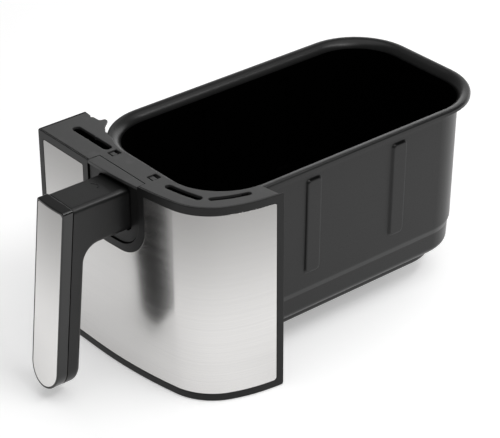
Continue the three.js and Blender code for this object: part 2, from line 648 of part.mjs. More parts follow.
function handleCoreGeometry() {
  const half = CORE_WIDTH / 2;
  let core = solid(carryAcross(coreShape(0), HANDLE_CENTRE - half, HANDLE_CENTRE + half));
  for (const z of GRIP_SCREW_Z) {
    core = core.subtract(solid(rod(HANDLE_CENTRE, z, SCREW_RADIUS + GAP, faceY(z), faceY(z) + 30)));
  }
  for (const offset of HANDLE_SCREW_SPOTS) {
    core = core.subtract(solid(rod(HANDLE_CENTRE + offset, HANDLE_SCREW_Z, SCREW_RADIUS + GAP, 0, 14)));
  }
  return shell(core);
}

function handleScrewGeometry(offset) {
  return screw(HANDLE_CENTRE + offset, BRACKET_NOSE.front + BRACKET.sheet, HANDLE_SCREW_Z, 5);
}

function gripScrewGeometry(z) {
  return screw(HANDLE_CENTRE, faceY(z) + GRIP_THICKNESS - 3, z, 12);
}

// ---- Assembly ----

const drawer = new THREE.Group();
const handleFront = faceY(HANDLE_BOTTOM);
drawer.position.set(-FRONT_WIDTH / 2, -(RIM.back + handleFront) / 2, 0);

function place(name, geometry, look) {
  const mesh = new THREE.Mesh(geometry, new THREE.MeshStandardMaterial(look));
  mesh.name = name;
  drawer.add(mesh);
}

// Identical fasteners, one at each spot
function placeEach(name, spots, make) {
  spots.forEach((spot, i) => place(`${name}_${i + 1}`, make(spot), ZINC_STEEL));
}

place('pan', panGeometry(), NON_STICK);
place('pan_bracket', bracketGeometry(), ZINC_STEEL);
placeEach('pan_stud', STUD_SPOTS, studGeometry);
placeEach('pan_nut', STUD_SPOTS, nutGeometry);
place('crisper_plate', crisperGeometry(), NON_STICK);
for (const side of ['front', 'back', 'left', 'right']) {
  place(`crisper_bumper_${side}`, bumperGeometry(side), SILICONE);
}
place('front_frame', frameGeometry(), BLACK_PLASTIC);
place('steel_fascia', fasciaGeometry(), BRUSHED_STEEL);
place('handle_bezel', bezelGeometry(), BLACK_PLASTIC);
place('top_cover', coverGeometry(), COVER_PLASTIC);
place('rear_cover', rearCoverGeometry(), BLACK_PLASTIC);
placeEach('housing_screw', BOSSES, housingScrewGeometry);
place('handle_body', handleBodyGeometry(), BLACK_PLASTIC);
place('handle_trim', handleTrimGeometry(), GLOSS_PLASTIC);
place('handle_inlay', handleInlayGeometry(), BRUSHED_STEEL);
place('handle_core', handleCoreGeometry(), ZINC_STEEL);
placeEach('handle_screw', HANDLE_SCREW_SPOTS, handleScrewGeometry);
placeEach('grip_screw', GRIP_SCREW_Z, gripScrewGeometry);

const model = new THREE.Group();
model.add(drawer);

export default model;
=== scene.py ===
# %% [markdown]
# # An air fryer drawer
# This is the right-hand drawer of a two-drawer air fryer, pulled out of its body: a deep non-stick pan
# behind a steel-faced plastic front, with an L-shaped handle. The frame holds every part at its true
# size and place. Here each visible part gets the surface that the simple solids leave out.

# %% Load the frame
from math import asin, atan2, ceil, cos, hypot, pi, radians, sin, tan

import bmesh
import bpy
from mathutils import Matrix, Vector


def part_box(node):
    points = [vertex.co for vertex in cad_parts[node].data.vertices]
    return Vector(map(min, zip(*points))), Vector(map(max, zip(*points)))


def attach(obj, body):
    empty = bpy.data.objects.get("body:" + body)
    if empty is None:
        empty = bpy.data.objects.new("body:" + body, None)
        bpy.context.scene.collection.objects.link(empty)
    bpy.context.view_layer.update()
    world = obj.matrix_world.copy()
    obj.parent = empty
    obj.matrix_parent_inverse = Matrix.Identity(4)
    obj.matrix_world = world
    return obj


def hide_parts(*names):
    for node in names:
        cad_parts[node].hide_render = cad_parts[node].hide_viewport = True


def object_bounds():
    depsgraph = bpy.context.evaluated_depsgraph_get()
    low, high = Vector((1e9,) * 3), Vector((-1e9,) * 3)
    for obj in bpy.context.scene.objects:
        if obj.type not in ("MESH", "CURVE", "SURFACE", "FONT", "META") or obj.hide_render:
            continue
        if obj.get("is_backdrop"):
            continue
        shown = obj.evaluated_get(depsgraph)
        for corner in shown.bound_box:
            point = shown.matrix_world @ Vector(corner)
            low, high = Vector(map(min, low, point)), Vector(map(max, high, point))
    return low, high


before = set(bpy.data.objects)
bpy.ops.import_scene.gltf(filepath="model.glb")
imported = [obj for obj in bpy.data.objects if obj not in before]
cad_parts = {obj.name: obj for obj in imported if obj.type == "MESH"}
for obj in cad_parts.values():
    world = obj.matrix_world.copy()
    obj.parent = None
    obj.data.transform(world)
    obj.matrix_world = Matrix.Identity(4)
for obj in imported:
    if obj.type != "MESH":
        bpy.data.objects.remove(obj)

cad_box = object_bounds()

# %% [markdown]
# ## Millimetres from a corner
# Blender works in metres from the frame's origin, but a drawer is easier to draw in millimetres from
# the left front bottom corner of its front panel. One corner of one part ties the two together, so
# every size below can be read as a drawing would give it.

# %% Datum and the sizes that the frame gives
MM = 0.001
datum = Vector(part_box("front_frame")[0])


def drawer_box(node):
    low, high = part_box(node)
    return (Vector(low) - datum) / MM, (Vector(high) - datum) / MM


FRONT_HEIGHT = drawer_box("front_frame")[1].z
RIM_LOW, RIM_HIGH = drawer_box("pan")
print("front is", round(FRONT_HEIGHT, 1), "mm high; pan is", [round(v, 1) for v in RIM_HIGH - RIM_LOW])

# %% [markdown]
# ## Camera
# A long lens from the right, above and in front keeps the drawer's edges nearly parallel, as in a
# catalogue picture. The camera is placed by the turn and height of its line of sight and by the point
# that it looks at, because those stay readable, where three raw coordinates would not.

# %% Camera
AZIMUTH, ELEVATION, ROLL = radians(50.56), radians(30.475), radians(-0.237)
DISTANCE = 1575
AIM = Vector((70.1, 142.1, 61.5))
LENS, SENSOR = 147.6, 36.0

sight = Vector((-sin(AZIMUTH) * cos(ELEVATION), cos(AZIMUTH) * cos(ELEVATION), -sin(ELEVATION)))
camera_data = bpy.data.cameras.new("camera")
camera_data.lens, camera_data.sensor_width = LENS, SENSOR
camera_data.clip_end = 20
camera = bpy.data.objects.new("camera", camera_data)
bpy.context.scene.collection.objects.link(camera)
turn = sight.to_track_quat("-Z", "Y").to_matrix().to_4x4() @ Matrix.Rotation(ROLL, 4, "Z")
camera.matrix_world = Matrix.Translation(datum + (AIM - sight * DISTANCE) * MM) @ turn
bpy.context.scene.camera = camera
print("camera at", [round(v, 3) for v in camera.location])

# %% [markdown]
# ## Shader maths as plain expressions
# A finish is a small calculation: some noise, scaled and added to a roughness. Wiring that by hand
# takes a node for each sign. A class that wraps a socket and understands + - * / lets the calculation
# be written as it would be on paper, and adds the Math nodes by itself.

# %% A socket that does arithmetic, and a finish that makes nodes
class Value:
    """The output of a node, as a number that can be calculated with."""

    def __init__(self, finish, socket):
        self.finish, self.socket = finish, socket

    def math(self, operation, first, second):
        return self.finish.node("ShaderNodeMath", {"operation": operation}, {0: first, 1: second})

    def __add__(self, other):
        return self.math("ADD", self, other)

    def __radd__(self, other):
        return self.math("ADD", other, self)

    def __sub__(self, other):
        return self.math("SUBTRACT", self, other)

    def __rsub__(self, other):
        return self.math("SUBTRACT", other, self)

    def __mul__(self, other):
        return self.math("MULTIPLY", self, other)

    def __rmul__(self, other):
        return self.math("MULTIPLY", other, self)

    def __truediv__(self, other):
        return self.math("DIVIDE", self, other)

    def __rtruediv__(self, other):
        return self.math("DIVIDE", other, self)


class Finish:
    """A material, and the nodes that lead to its shader."""

    def __init__(self, name):
        self.material = bpy.data.materials.new(name)
        self.material.use_nodes = True
        self.tree = self.material.node_tree
        self.shader = self.tree.nodes["Principled BSDF"]
        self.place = self.node("ShaderNodeTexCoord", {}, {}, "Object")

    def feed(self, socket, value):
        if isinstance(value, Value):
            self.tree.links.new(value.socket, socket)
        else:
            socket.default_value = value

    def node(self, kind, settings, values, output=0):
        made = self.tree.nodes.new(kind)
        for name, setting in settings.items():
            setattr(made, name, setting)
        for name, value in values.items():
            self.feed(made.inputs[name], value)
        return Value(self, made.outputs[output])

    def noise(self, scale, detail=2.0, stretch=None):
        """Noise from 0 to 1 over the piece; stretch gives each axis its own scale."""
        place = self.place
        if stretch:
            place = self.node("ShaderNodeMapping", {}, {"Vector": place, "Scale": stretch})
        values = {"Vector": place, "Scale": scale, "Detail": detail}
        return self.node("ShaderNodeTexNoise", {}, values, "Fac")

    def ramp(self, value, low, high):
        """0 below low, 1 above high, and a smooth step between."""
        values = {"Value": value, "From Min": low, "From Max": high}
        return self.node("ShaderNodeMapRange", {"interpolation_type": "SMOOTHSTEP"}, values)

    def blend(self, factor, first, second):
        """A colour between two, or between two other blends."""
        made = self.tree.nodes.new("ShaderNodeMix")
        made.data_type = "RGBA"
        colours = [socket for socket in made.inputs if socket.type == "RGBA"]
        self.feed(made.inputs[0], factor)
        self.feed(colours[0], first)
        self.feed(colours[1], second)
        return Value(self, [socket for socket in made.outputs if socket.type == "RGBA"][0])

    def bump(self, height, strength, distance):
        """A relief from a height, as deep as distance in metres at full strength."""
        values = {"Height": height, "Strength": strength, "Distance": distance}
        return self.node("ShaderNodeBump", {}, values)

    def set(self, **values):
        for name, value in values.items():
            self.feed(self.shader.inputs[name.replace("_", " ")], value)
        return self.material


def grey(level, warmth=0.0):
    """A near-grey from its 0 to 255 display level; warmth lifts red and lowers blue."""
    channels = [(level * (1 + warmth * side) / 255) ** 2.2 for side in (1, 0, -1)]
    return (*channels, 1.0)


print("shader helpers are ready")

# %% [markdown]
# ## Moulded plastic
# The housing, covers and grip are injection moulded in black plastic with a fine spark-eroded grain
# that comes from the mould. Three scales of variation make it: the grain itself as bump, a slow drift
# of gloss where hands and cloths have been, and a few lighter scuffs.

# %% Plastic finishes
def moulded(name, level, roughness, grain=0.35, relief=0.2, specular=0.5, warmth=0.0, coat=0.0):
    """Black plastic; grain is the size of its texture in mm."""
    finish = Finish(name)
    texture = finish.noise(1 / (grain * MM), 3.0)
    drift = finish.noise(28, 2.0)
    rubbed = finish.ramp(finish.noise(90, 4.0), 0.56, 0.8)
    colour = finish.blend(drift, grey(level * 0.93, warmth), grey(level * 1.06, warmth))
    colour = finish.blend(rubbed * 0.35, colour, grey(level * 1.25, warmth))
    vary = roughness / 0.4
    return finish.set(
        Base_Color=colour,
        Roughness=roughness + ((drift - 0.5) * 0.1 - rubbed * 0.06 + (texture - 0.5) * 0.06) * vary,
        Normal=finish.bump(texture, relief, 0.04 * MM), Specular_IOR_Level=specular, Coat_Weight=coat,
        Coat_Roughness=0.05)


HOUSING = moulded("housing_black", 16, 0.42, warmth=0.01, specular=0.3)
COVER_GREY = moulded("cover_dark_grey", 58, 0.5, grain=0.4, relief=0.3)
GRIP_BLACK = moulded("grip_black", 22, 0.36, grain=0.3, relief=0.12, specular=0.36)
GLOSS_BLACK = moulded("trim_gloss_black", 5, 0.08, grain=6, relief=0.0, coat=0.15)
SILICONE = moulded("silicone_black", 30, 0.72, grain=0.8, relief=0.1, specular=0.35)
print("plastics:", [m.name for m in (HOUSING, COVER_GREY, GRIP_BLACK, GLOSS_BLACK, SILICONE)])

# %% [markdown]
# ## Non-stick coating
# The pan is deep-drawn steel under a sprayed coating, satin outside, with a faint orange peel and
# fine mineral flecks. Inside, it is painted near black and nearly without gloss, as painted shade for
# the deep hollow. Both come from one recipe: a slow ripple for the peel, and noise cut off near its
# top for the flecks.

# %% Non-stick finishes
def non_stick(name, level, roughness, fleck_level, specular):
    """A sprayed coating with a fine ripple and mineral flecks."""
    finish = Finish(name)
    peel = finish.noise(420, 2.0)
    fleck = finish.ramp(finish.noise(1500, 1.0), 0.62, 0.72)
    drift = finish.noise(14, 3.0)
    colour = finish.blend(drift, grey(level * 0.92), grey(level * 1.08))
    colour = finish.blend(fleck * 0.5, colour, grey(fleck_level))
    return finish.set(
        Base_Color=colour, Roughness=roughness + (drift - 0.5) * 0.12 - fleck * 0.08,
        Normal=finish.bump(peel, 0.25, 0.05 * MM), Specular_IOR_Level=specular)


PAN_OUTSIDE = non_stick("non_stick_outside", 22, 0.32, 60, specular=0.32)
PLATE_COATING = non_stick("non_stick_plate", 15, 0.6, 30, specular=0.14)
# painted shade: the inside is coloured near black, in place of the shade deep in the pan
PAN_INSIDE_PAINTED_SHADE = non_stick("non_stick_inside_painted_shade", 4, 0.8, 9, specular=0.015)
print("coatings:", PAN_OUTSIDE.name, PAN_INSIDE_PAINTED_SHADE.name, PLATE_COATING.name)

# %% [markdown]
# ## Brushed steel
# The fascia and the grip's inlay are thin stainless sheet, brushed along its length, so the grain is
# fine from top to bottom and runs on for centimetres sideways. Noise that is stretched that way
# drives colour, gloss and bump together, and a painted shade darkens the sheet towards its top, in
# place of the dimmer reflection there. The bolts and the bracket are duller zinc-plated steel.

# %% Metal finishes
def brushed(name, level, roughness, along):
    """Steel whose grain runs along the given axes; its noise changes fast only across them."""
    finish = Finish(name)
    streak = finish.noise(1, 4.0, tuple(6 if axis in along else 2600 for axis in "xyz"))
    broad = finish.noise(1, 2.0, tuple(3 if axis in along else 240 for axis in "xyz"))
    tone = streak * 0.85 + broad * 0.15
    height = finish.node("ShaderNodeSeparateXYZ", {}, {"Vector": finish.place}, "Z") / (FRONT_HEIGHT * MM)
    colour = finish.blend(tone, grey(level * 0.95, 0.006), grey(level * 1.05, 0.006))
    # painted shade: the colour darkens towards the top of the sheet, in place of its dimmer reflection
    # there
    colour = finish.blend(finish.ramp(height, 0.3, 1.1), colour, grey(level * 0.7, 0.008))
    return finish.set(
        Base_Color=colour, Metallic=1.0,
        Roughness=roughness + (streak - 0.5) * 0.12 + (broad - 0.5) * 0.06,
        Normal=finish.bump(streak, 0.12, 0.01 * MM))


def plated(name, level, roughness):
    """Zinc plate, with small crystals and slow stains."""
    finish = Finish(name)
    crystal = finish.noise(700, 3.0)
    stain = finish.noise(60, 3.0)
    return finish.set(
        Base_Color=finish.blend(stain, grey(level * 0.85, 0.01), grey(level * 1.05, -0.01)), Metallic=1.0,
        Roughness=roughness + (crystal - 0.5) * 0.2, Normal=finish.bump(crystal, 0.15, 0.03 * MM))


FASCIA_STEEL = brushed("fascia_steel", 210, 0.2, "xy")
INLAY_STEEL = brushed("inlay_steel", 218, 0.24, "x")
ZINC = plated("zinc_plate", 150, 0.42)
print("metals:", FASCIA_STEEL.name, INLAY_STEEL.name, ZINC.name)

# %% [markdown]
# ## Outlines with round corners
# Nearly every piece here starts as an outline whose corners are arcs: a cover, a slot, the pan's rim.
# One function turns corner points and radii into such a line, for plans, side views and wall sections
# alike. Two more draw the outlines that come up most: a rounded rectangle and a plain arc.

# %% Outlines
ARC_STEP = radians(7.5)


def rounded(corners, closed=True):
    """Points of a line through (x, y, radius) corners, with an arc of that radius at each."""
    line = []
    for i, (x, y, radius) in enumerate(corners):
        here = Vector((x, y))
        if not radius or (not closed and i in (0, len(corners) - 1)):
            line.append(here)
            continue
        back = (Vector(corners[i - 1][:2]) - here).normalized()
        ahead = (Vector(corners[(i + 1) % len(corners)][:2]) - here).normalized()
        half = back.angle(ahead) / 2
        centre = here + (back + ahead).normalized() * radius / sin(half)
        first, last = (here + side * radius / tan(half) - centre for side in (back, ahead))
        sweep = (atan2(last.y, last.x) - atan2(first.y, first.x) + pi) % (2 * pi) - pi
        steps = max(2, ceil(abs(sweep) / ARC_STEP))
        line += [centre + Matrix.Rotation(sweep * k / steps, 2) @ first for k in range(steps + 1)]
    return line


def rectangle(left, right, low, high, near, far=None):
    """A rounded rectangle; near is the radius of its low corners, and far that of its high ones."""
    far = near if far is None else far
    return rounded([(left, low, near), (right, low, near), (right, high, far), (left, high, far)])


def arc(centre, radius, start, end, step):
    """Points round a centre from one angle to another, no further apart than step."""
    steps = ceil(abs(end - start) / step)
    turns = [start + (end - start) * k / steps for k in range(steps + 1)]
    return [Vector(centre) + radius * Vector((cos(a), sin(a))) for a in turns]


print("a rounded square takes", len(rectangle(0, 10, 0, 10, 2)), "points")

# %% [markdown]
# ### Plates
# A flat curve fills an outline round its openings and rounds all its edges evenly, which a bevel on a
# filled mesh does not do reliably. It is made a mesh at once, and then it can stand up as a front
# view, lie across as a side view, or be cut into strips that a bend can follow.

# %% Plates
MERGE, ON_PLANE = 0.002, 1e-4


def plate(outlines, low, high, edge, steps=2):
    """A flat piece from low to high with every edge rounded; outlines after the first are openings."""
    curve = bpy.data.curves.new("outline", "CURVE")
    curve.dimensions, curve.fill_mode = "2D", "BOTH"
    curve.extrude = (high - low) / 2 - edge
    curve.bevel_depth, curve.offset, curve.bevel_resolution = edge, -edge, steps
    for outline in outlines:
        spline = curve.splines.new("POLY")
        spline.points.add(len(outline) - 1)
        for point, (x, y) in zip(spline.points, outline):
            point.co = (x, y, 0, 1)
        spline.use_cyclic_u = True
    holder = bpy.data.objects.new("outline", curve)
    mesh = bpy.data.meshes.new_from_object(holder)
    bm = bmesh.new()
    bm.from_mesh(mesh)
    bpy.data.objects.remove(holder)
    bpy.data.curves.remove(curve)
    bpy.data.meshes.remove(mesh)
    bmesh.ops.remove_doubles(bm, verts=bm.verts, dist=MERGE)
    bmesh.ops.translate(bm, vec=(0, 0, (low + high) / 2), verts=bm.verts)
    bmesh.ops.recalc_face_normals(bm, faces=bm.faces)
    return bm


def stand(bm):
    """Stand a plate up: its plan becomes a front view, and its thickness runs back from the front."""
    bmesh.ops.rotate(bm, verts=bm.verts, matrix=Matrix.Rotation(pi / 2, 3, "X"))
    bmesh.ops.scale(bm, verts=bm.verts, vec=(1, -1, 1))
    bmesh.ops.reverse_faces(bm, faces=bm.faces)
    return bm


def lay_across(bm):
    """Turn a plate so that it stands as a side view, its thickness running to the right."""
    turned = Matrix.Rotation(pi / 2, 3, "Z") @ Matrix.Rotation(pi / 2, 3, "X")
    bmesh.ops.rotate(bm, verts=bm.verts, matrix=turned)
    return bm


def slice_up(bm, axis, places):
    """Cut a mesh across an axis at each place, to give later bends somewhere to happen."""
    normal = Vector([axis == letter for letter in "xyz"])
    for place in places:
        geometry = [*bm.verts, *bm.edges, *bm.faces]
        bmesh.ops.bisect_plane(bm, geom=geometry, dist=ON_PLANE, plane_co=normal * place, plane_no=normal)
    return bm


print("plates can be drawn, stood up, laid across and sliced")

# %% [markdown]
# ### Joining, cutting and thickening
# Boolean and Solidify are modifiers, and work on objects. So a shape becomes an object for a moment,
# and what the modifier makes of it comes back as a bmesh.

# %% Join, cut and thicken
def join(*parts):
    """One bmesh from several."""
    whole = parts[0]
    for part in parts[1:]:
        mesh = bpy.data.meshes.new("part")
        part.to_mesh(mesh)
        part.free()
        whole.from_mesh(mesh)
        bpy.data.meshes.remove(mesh)
    return whole


def to_object(bm, name):
    mesh = bpy.data.meshes.new(name)
    bm.to_mesh(mesh)
    bm.free()
    piece = bpy.data.objects.new(name, mesh)
    bpy.context.scene.collection.objects.link(piece)
    return piece


def applied(piece, *tools):
    """A bmesh of an object as its modifiers make it; the object and its tools are then removed."""
    mesh = bpy.data.meshes.new_from_object(piece.evaluated_get(bpy.context.evaluated_depsgraph_get()))
    result = bmesh.new()
    result.from_mesh(mesh)
    bpy.data.meshes.remove(mesh)
    for used in (piece, *tools):
        data = used.data
        bpy.data.objects.remove(used)
        bpy.data.meshes.remove(data)
    return result


def cut(bm, other):
    """An exact cut of one closed shape out of another."""
    piece, tool = to_object(bm, "piece"), to_object(other, "tool")
    modifier = piece.modifiers.new("cut", "BOOLEAN")
    modifier.operation, modifier.object, modifier.solver = "DIFFERENCE", tool, "EXACT"
    result = applied(piece, tool)
    bmesh.ops.remove_doubles(result, verts=result.verts, dist=MERGE)
    return result


def thicken(bm, thickness):
    """Give a sheet its thickness behind its face; the new side takes the second material."""
    piece = to_object(bm, "sheet")
    for _ in range(2):
        piece.data.materials.append(None)
    wall = piece.modifiers.new("wall", "SOLIDIFY")
    wall.thickness, wall.offset, wall.use_even_offset, wall.use_quality_normals = thickness, -1, True, True
    wall.material_offset, wall.material_offset_rim = 1, 0
    return applied(piece)


print("shapes can be joined, cut and thickened")

# %% [markdown]
# ### Finishing a piece
# Every piece ends the same way. It is scaled and moved to its place in the mesh itself, so that its
# object stays at the origin, and it is shaded smooth but for its sharp edges. Then it is hung on the
# body it rides on and given its finishes, and the part of the frame that it stands for is hidden.

# %% Finish a piece
SHADING_WEIGHT = 80


def make(name, bm, slot, stands_for, *finishes, body="drawer", sharp=32):
    """Place a finished shape, and give it its body, finish and shading; slot is not used; sharp is in
    degrees.
    """
    bmesh.ops.scale(bm, verts=bm.verts, vec=(MM, MM, MM))
    bmesh.ops.translate(bm, verts=bm.verts, vec=datum)
    for face in bm.faces:
        face.smooth = True
    piece = to_object(bm, name)
    piece.data.set_sharp_from_angle(angle=radians(sharp))
    weigh = piece.modifiers.new("even_shading", "WEIGHTED_NORMAL")
    weigh.keep_sharp, weigh.weight = True, SHADING_WEIGHT
    for finish in finishes:
        piece.data.materials.append(finish)
    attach(piece, body)
    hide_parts(stands_for)
    print(f"{name}: {len(piece.data.polygons)} faces, {[round(v / MM, 1) for v in piece.dimensions]} mm")


print("finished pieces are shaded with a weight of", SHADING_WEIGHT)

# %% [markdown]
# ## The pan
# A real pan is pressed from one sheet, so it has one wall thickness all round: a stepped foot, a
# rounded band, a faint crease, a nearly upright wall and a rim rolled outwards and down. Drawing it as
# rings that follow that section, bridged one to the next, keeps the corners round at every height.
# The sheet then gets its thickness in one step, and two wide ribs are pressed out of each side wall.

# %% The pan's section and rings
RIM = {"left": 18, "right": 171.6, "front": 23.7, "back": 302, "radius": 50}
SHEET, CORNER_STEPS = 1.2, 14
TIGHTEST, BOTTOM_INSET, BOTTOM_RADIUS = 36, 40, 12
FLANGE = RIM_HIGH.z - SHEET
SECTION = rounded([
    (60, 19, 0), (22.9, 19, 2.2), (22.6, 27.4, 0.7), (13.8, 27.4, 7.2), (13.0, 46.6, 0.8), (11.5, 51.5, 7),
    (9.7, 146, 6), (8.9, FLANGE, 6.5), (1.5, FLANGE, 0.5), (1.5, 155.2, 0)], closed=False)


def ring(bm, inset, z):
    """Edges of a rounded rectangle, inset from the rim's outer edge."""
    before = set(bm.edges)
    radius = max(RIM["radius"] - inset, TIGHTEST if inset < BOTTOM_INSET else BOTTOM_RADIUS)
    left, right = RIM["left"] + inset, RIM["right"] - inset
    front, back = RIM["front"] + inset, RIM["back"] - inset
    places = ((left, front), (right, front), (right, back), (left, back))
    corners = [bm.verts.new((x, y, z)) for x, y in places]
    bm.faces.new(corners)
    bmesh.ops.bevel(
        bm, geom=corners, offset=radius, segments=CORNER_STEPS, profile=0.5, affect="VERTICES", material=-1)
    made = [edge for edge in bm.edges if edge not in before]
    bmesh.ops.delete(bm, geom=list({f for edge in made for f in edge.link_faces}), context="FACES_ONLY")
    return made


pan = bmesh.new()
rings = [ring(pan, inset, z) for inset, z in SECTION]
for lower, upper in zip(rings, rings[1:]):
    bmesh.ops.bridge_loops(pan, edges=lower + upper)
bmesh.ops.remove_doubles(pan, verts=pan.verts, dist=0.01)
lowest = [edge for edge in pan.edges if edge.is_boundary and edge.verts[0].co.z < SECTION[0].y + 1]
bmesh.ops.holes_fill(pan, edges=lowest, sides=0)
bmesh.ops.recalc_face_normals(pan, faces=pan.faces)
print("pan sheet:", len(pan.faces), "faces in", len(rings), "rings")

# %% [markdown]
# ### Ribs and thickness
# Pressing a rib moves the wall outwards inside a rounded rectangle and leaves the rest alone. The
# wall is first cut finely across each rib's edges, and then each point moves by how far it lies
# inside the rounded rectangle, over a short ramp like the one a press tool leaves. The painted shade
# of the inside stops below the rim's curl, so the rim is finished like the outside.

# %% Press the ribs, then thicken the sheet
RIBS = (125.7, 209.2)
RIB = {"half": 7.75, "bottom": 64, "top": 144, "radius": 4.5, "depth": 1.9, "ramp": 1.7}
RAMP_CUTS = (0.5, 0, -0.45, -0.9, -1.35, -1.8, -2.7, -4)
BOTTOM_REACH, PAINTED_SHADE_ENDS = 50, 152.2

cuts_y = [y + side * (RIB["half"] + past) for y in RIBS for side in (-1, 1) for past in RAMP_CUTS]
cuts_z = [RIB["bottom"] - past for past in RAMP_CUTS] + [RIB["top"] + past for past in RAMP_CUTS]
slice_up(slice_up(pan, "y", cuts_y), "z", cuts_z)

middle_x = (RIM["left"] + RIM["right"]) / 2
middle_y = (RIM["front"] + RIM["back"]) / 2
for vert in pan.verts:
    x, y, z = vert.co
    if not RIB["bottom"] - 2 < z < RIB["top"] + 2 or abs(x - middle_x) < BOTTOM_REACH:
        continue
    across = min(abs(y - rib) for rib in RIBS) - RIB["half"] + RIB["radius"]
    along = abs(z - (RIB["top"] + RIB["bottom"]) / 2) - (RIB["top"] - RIB["bottom"]) / 2 + RIB["radius"]
    outside = hypot(max(across, 0), max(along, 0)) + min(max(across, along), 0) - RIB["radius"]
    share = min(max(-outside / RIB["ramp"], 0), 1)
    press = RIB["depth"] * share * share * (3 - 2 * share)
    vert.co.x += -press if x < middle_x else press

side_faces = [face for face in pan.faces if abs(face.normal.x) > 0.9]
widest = max(side_faces, key=lambda face: face.calc_area())
if widest.normal.x * (widest.calc_center_median().x - middle_x) < 0:
    bmesh.ops.reverse_faces(pan, faces=pan.faces)
pan = thicken(pan, SHEET)
# faces above this height take the outside finish; the inside's painted shade stays below it
for face in pan.faces:
    if face.calc_center_median().z > PAINTED_SHADE_ENDS:
        face.material_index = 0
make("pan_shell", pan, "pan_nonstick", "pan", PAN_OUTSIDE, PAN_INSIDE_PAINTED_SHADE, sharp=40)

# %% [markdown]
# ## The bent front
# The front panel is flat at the left and sweeps round the appliance's right corner in three bends.
# Its frame, steel sheet and handle bezel all share that bend, so each is drawn flat, with true round
# corners, and then bent: a point's distance along the sheet becomes a place on the bent line, and its
# depth is laid off square to it. That is how the sheet metal itself is made.

# %% Bend a flat piece round the front's line
FLAT, TAIL, BEND_STEP = 63.2, 11.56, 1.6
BENDS = ((390.8, 12.39), (43.1, 54.54), (116.7, 15.72))
DEVELOPED = FLAT + sum(radius * radians(turned) for radius, turned in BENDS) + TAIL


def front_line(s, depth=0.0):
    """The place in plan at s along the front's outer face and depth behind it."""
    place, heading = Vector((min(s, FLAT), 0)), 0.0
    s -= FLAT
    for radius, turned in BENDS:
        if s <= 0:
            break
        swept = min(s / radius, radians(turned))
        chord = heading + swept / 2
        place += 2 * radius * sin(swept / 2) * Vector((cos(chord), sin(chord)))
        heading += swept
        s -= radius * radians(turned)
    if s > 0:
        place += s * Vector((cos(heading), sin(heading)))
    return place + depth * Vector((-sin(heading), cos(heading)))


def bend_places(start, end):
    """Where to slice a flat sheet, closer together where the bend is tighter."""
    places, s = [], FLAT
    for radius, turned in BENDS:
        steps = ceil(turned / BEND_STEP)
        places += [s + radius * radians(turned) * k / steps for k in range(steps + 1)]
        s += radius * radians(turned)
    return [place for place in places if start < place < end]


def bend(bm):
    """Wrap a flat upright piece round the front's line."""
    along = [vert.co.x for vert in bm.verts]
    slice_up(bm, "x", bend_places(min(along) + 0.05, max(along) - 0.05))
    for vert in bm.verts:
        place = front_line(vert.co.x, vert.co.y)
        vert.co.x, vert.co.y = place
    return bm


def along_front(x):
    """How far along the front's face a place across it lies, left of the tight bend."""
    return x if x < FLAT else FLAT + BENDS[0][0] * asin((x - FLAT) / BENDS[0][0])


end_of_front = [round(v, 1) for v in front_line(DEVELOPED)]
print("front is", round(DEVELOPED, 1), "mm of sheet, ending at", end_of_front)

# %% [markdown]
# ### Fascia and frame
# The steel lies in a pocket, with a black border of a few millimetres round it that is moulded in one
# with the frame. So the frame is two layers: a backing sheet, and a border that stands up to the
# steel's own level. Both have the notch for the handle's bezel. A side wall closes the left end.

# %% Fascia
BORDER, BORDER_TOP, GAP = 5.7, 6.0, 0.3
STEEL_FRONT, STEEL_BACK, STEEL_EDGE = 0.05, 0.85, 0.22
U = {"centre": 88.4, "half": 26.6, "bottom": 107.6, "radius": 20}
U_EDGE = {"half": 32.9, "bottom": 101.5, "radius": 25}


def u_corners(half, bottom, radius, top):
    """Corners of a U-shaped notch, from its top left round to its top right."""
    left, right = along_front(U["centre"] - half), along_front(U["centre"] + half)
    return [(left, top, 1.2), (left, bottom, radius), (right, bottom, radius), (right, top, 1.2)]


def border_corners(inset, top, upper, lower):
    """Corners of a sheet that lies inset in the front, from its top right round to its top left."""
    left, right = inset, DEVELOPED - inset
    return [(right, top, upper), (right, inset, lower), (left, inset, lower), (left, top, upper)]


top_of_steel = FRONT_HEIGHT - BORDER_TOP
steel_edge = border_corners(BORDER + GAP, top_of_steel - GAP, 2, 2.5)
notch = u_corners(U_EDGE["half"] + GAP, U_EDGE["bottom"] - GAP, U_EDGE["radius"], top_of_steel - GAP)
fascia = stand(plate([rounded([*notch, *steel_edge])], STEEL_FRONT, STEEL_BACK, STEEL_EDGE))
make("fascia_sheet", bend(fascia), "brushed_steel", "steel_fascia", FASCIA_STEEL)

# %% Frame
POCKET, FRAME_WALL, COVER = 1.2, 3.0, 2.6
SIDE_DEPTH, LIP_LOW, LIP_WALL = 42.6, 155, 1

hole = u_corners(U["half"] + GAP, U["bottom"] - GAP, U["radius"], FRONT_HEIGHT)
hole = [(x, z, 0.5 if z == FRONT_HEIGHT else radius + GAP) for x, z, radius in hole]
rim_top = FRONT_HEIGHT - COVER - GAP
backing = rounded([
    *((x, min(z, rim_top), radius) for x, z, radius in hole), (DEVELOPED - 0.2, rim_top, 0.4),
    (DEVELOPED - 0.2, 0, 1), (0.4, 0, 1), (0.4, rim_top, 0.4)])
outside = [*hole, *border_corners(0, FRONT_HEIGHT, 1.2, 1.6)]
u_pocket = u_corners(U_EDGE["half"], U_EDGE["bottom"], U_EDGE["radius"], top_of_steel)
pocket = [*u_pocket, *border_corners(BORDER, top_of_steel, 2.2, 2.8)]
frame_front = join(
    bend(stand(plate([backing], POCKET - 0.05, FRAME_WALL, 0.25))),
    bend(stand(plate([rounded(outside), rounded(pocket)], 0, POCKET, 0.35))))
side_view = rounded([(1, 0, 0.8), (SIDE_DEPTH, 0, 1), (SIDE_DEPTH, rim_top, 1), (1, rim_top, 0.5)])
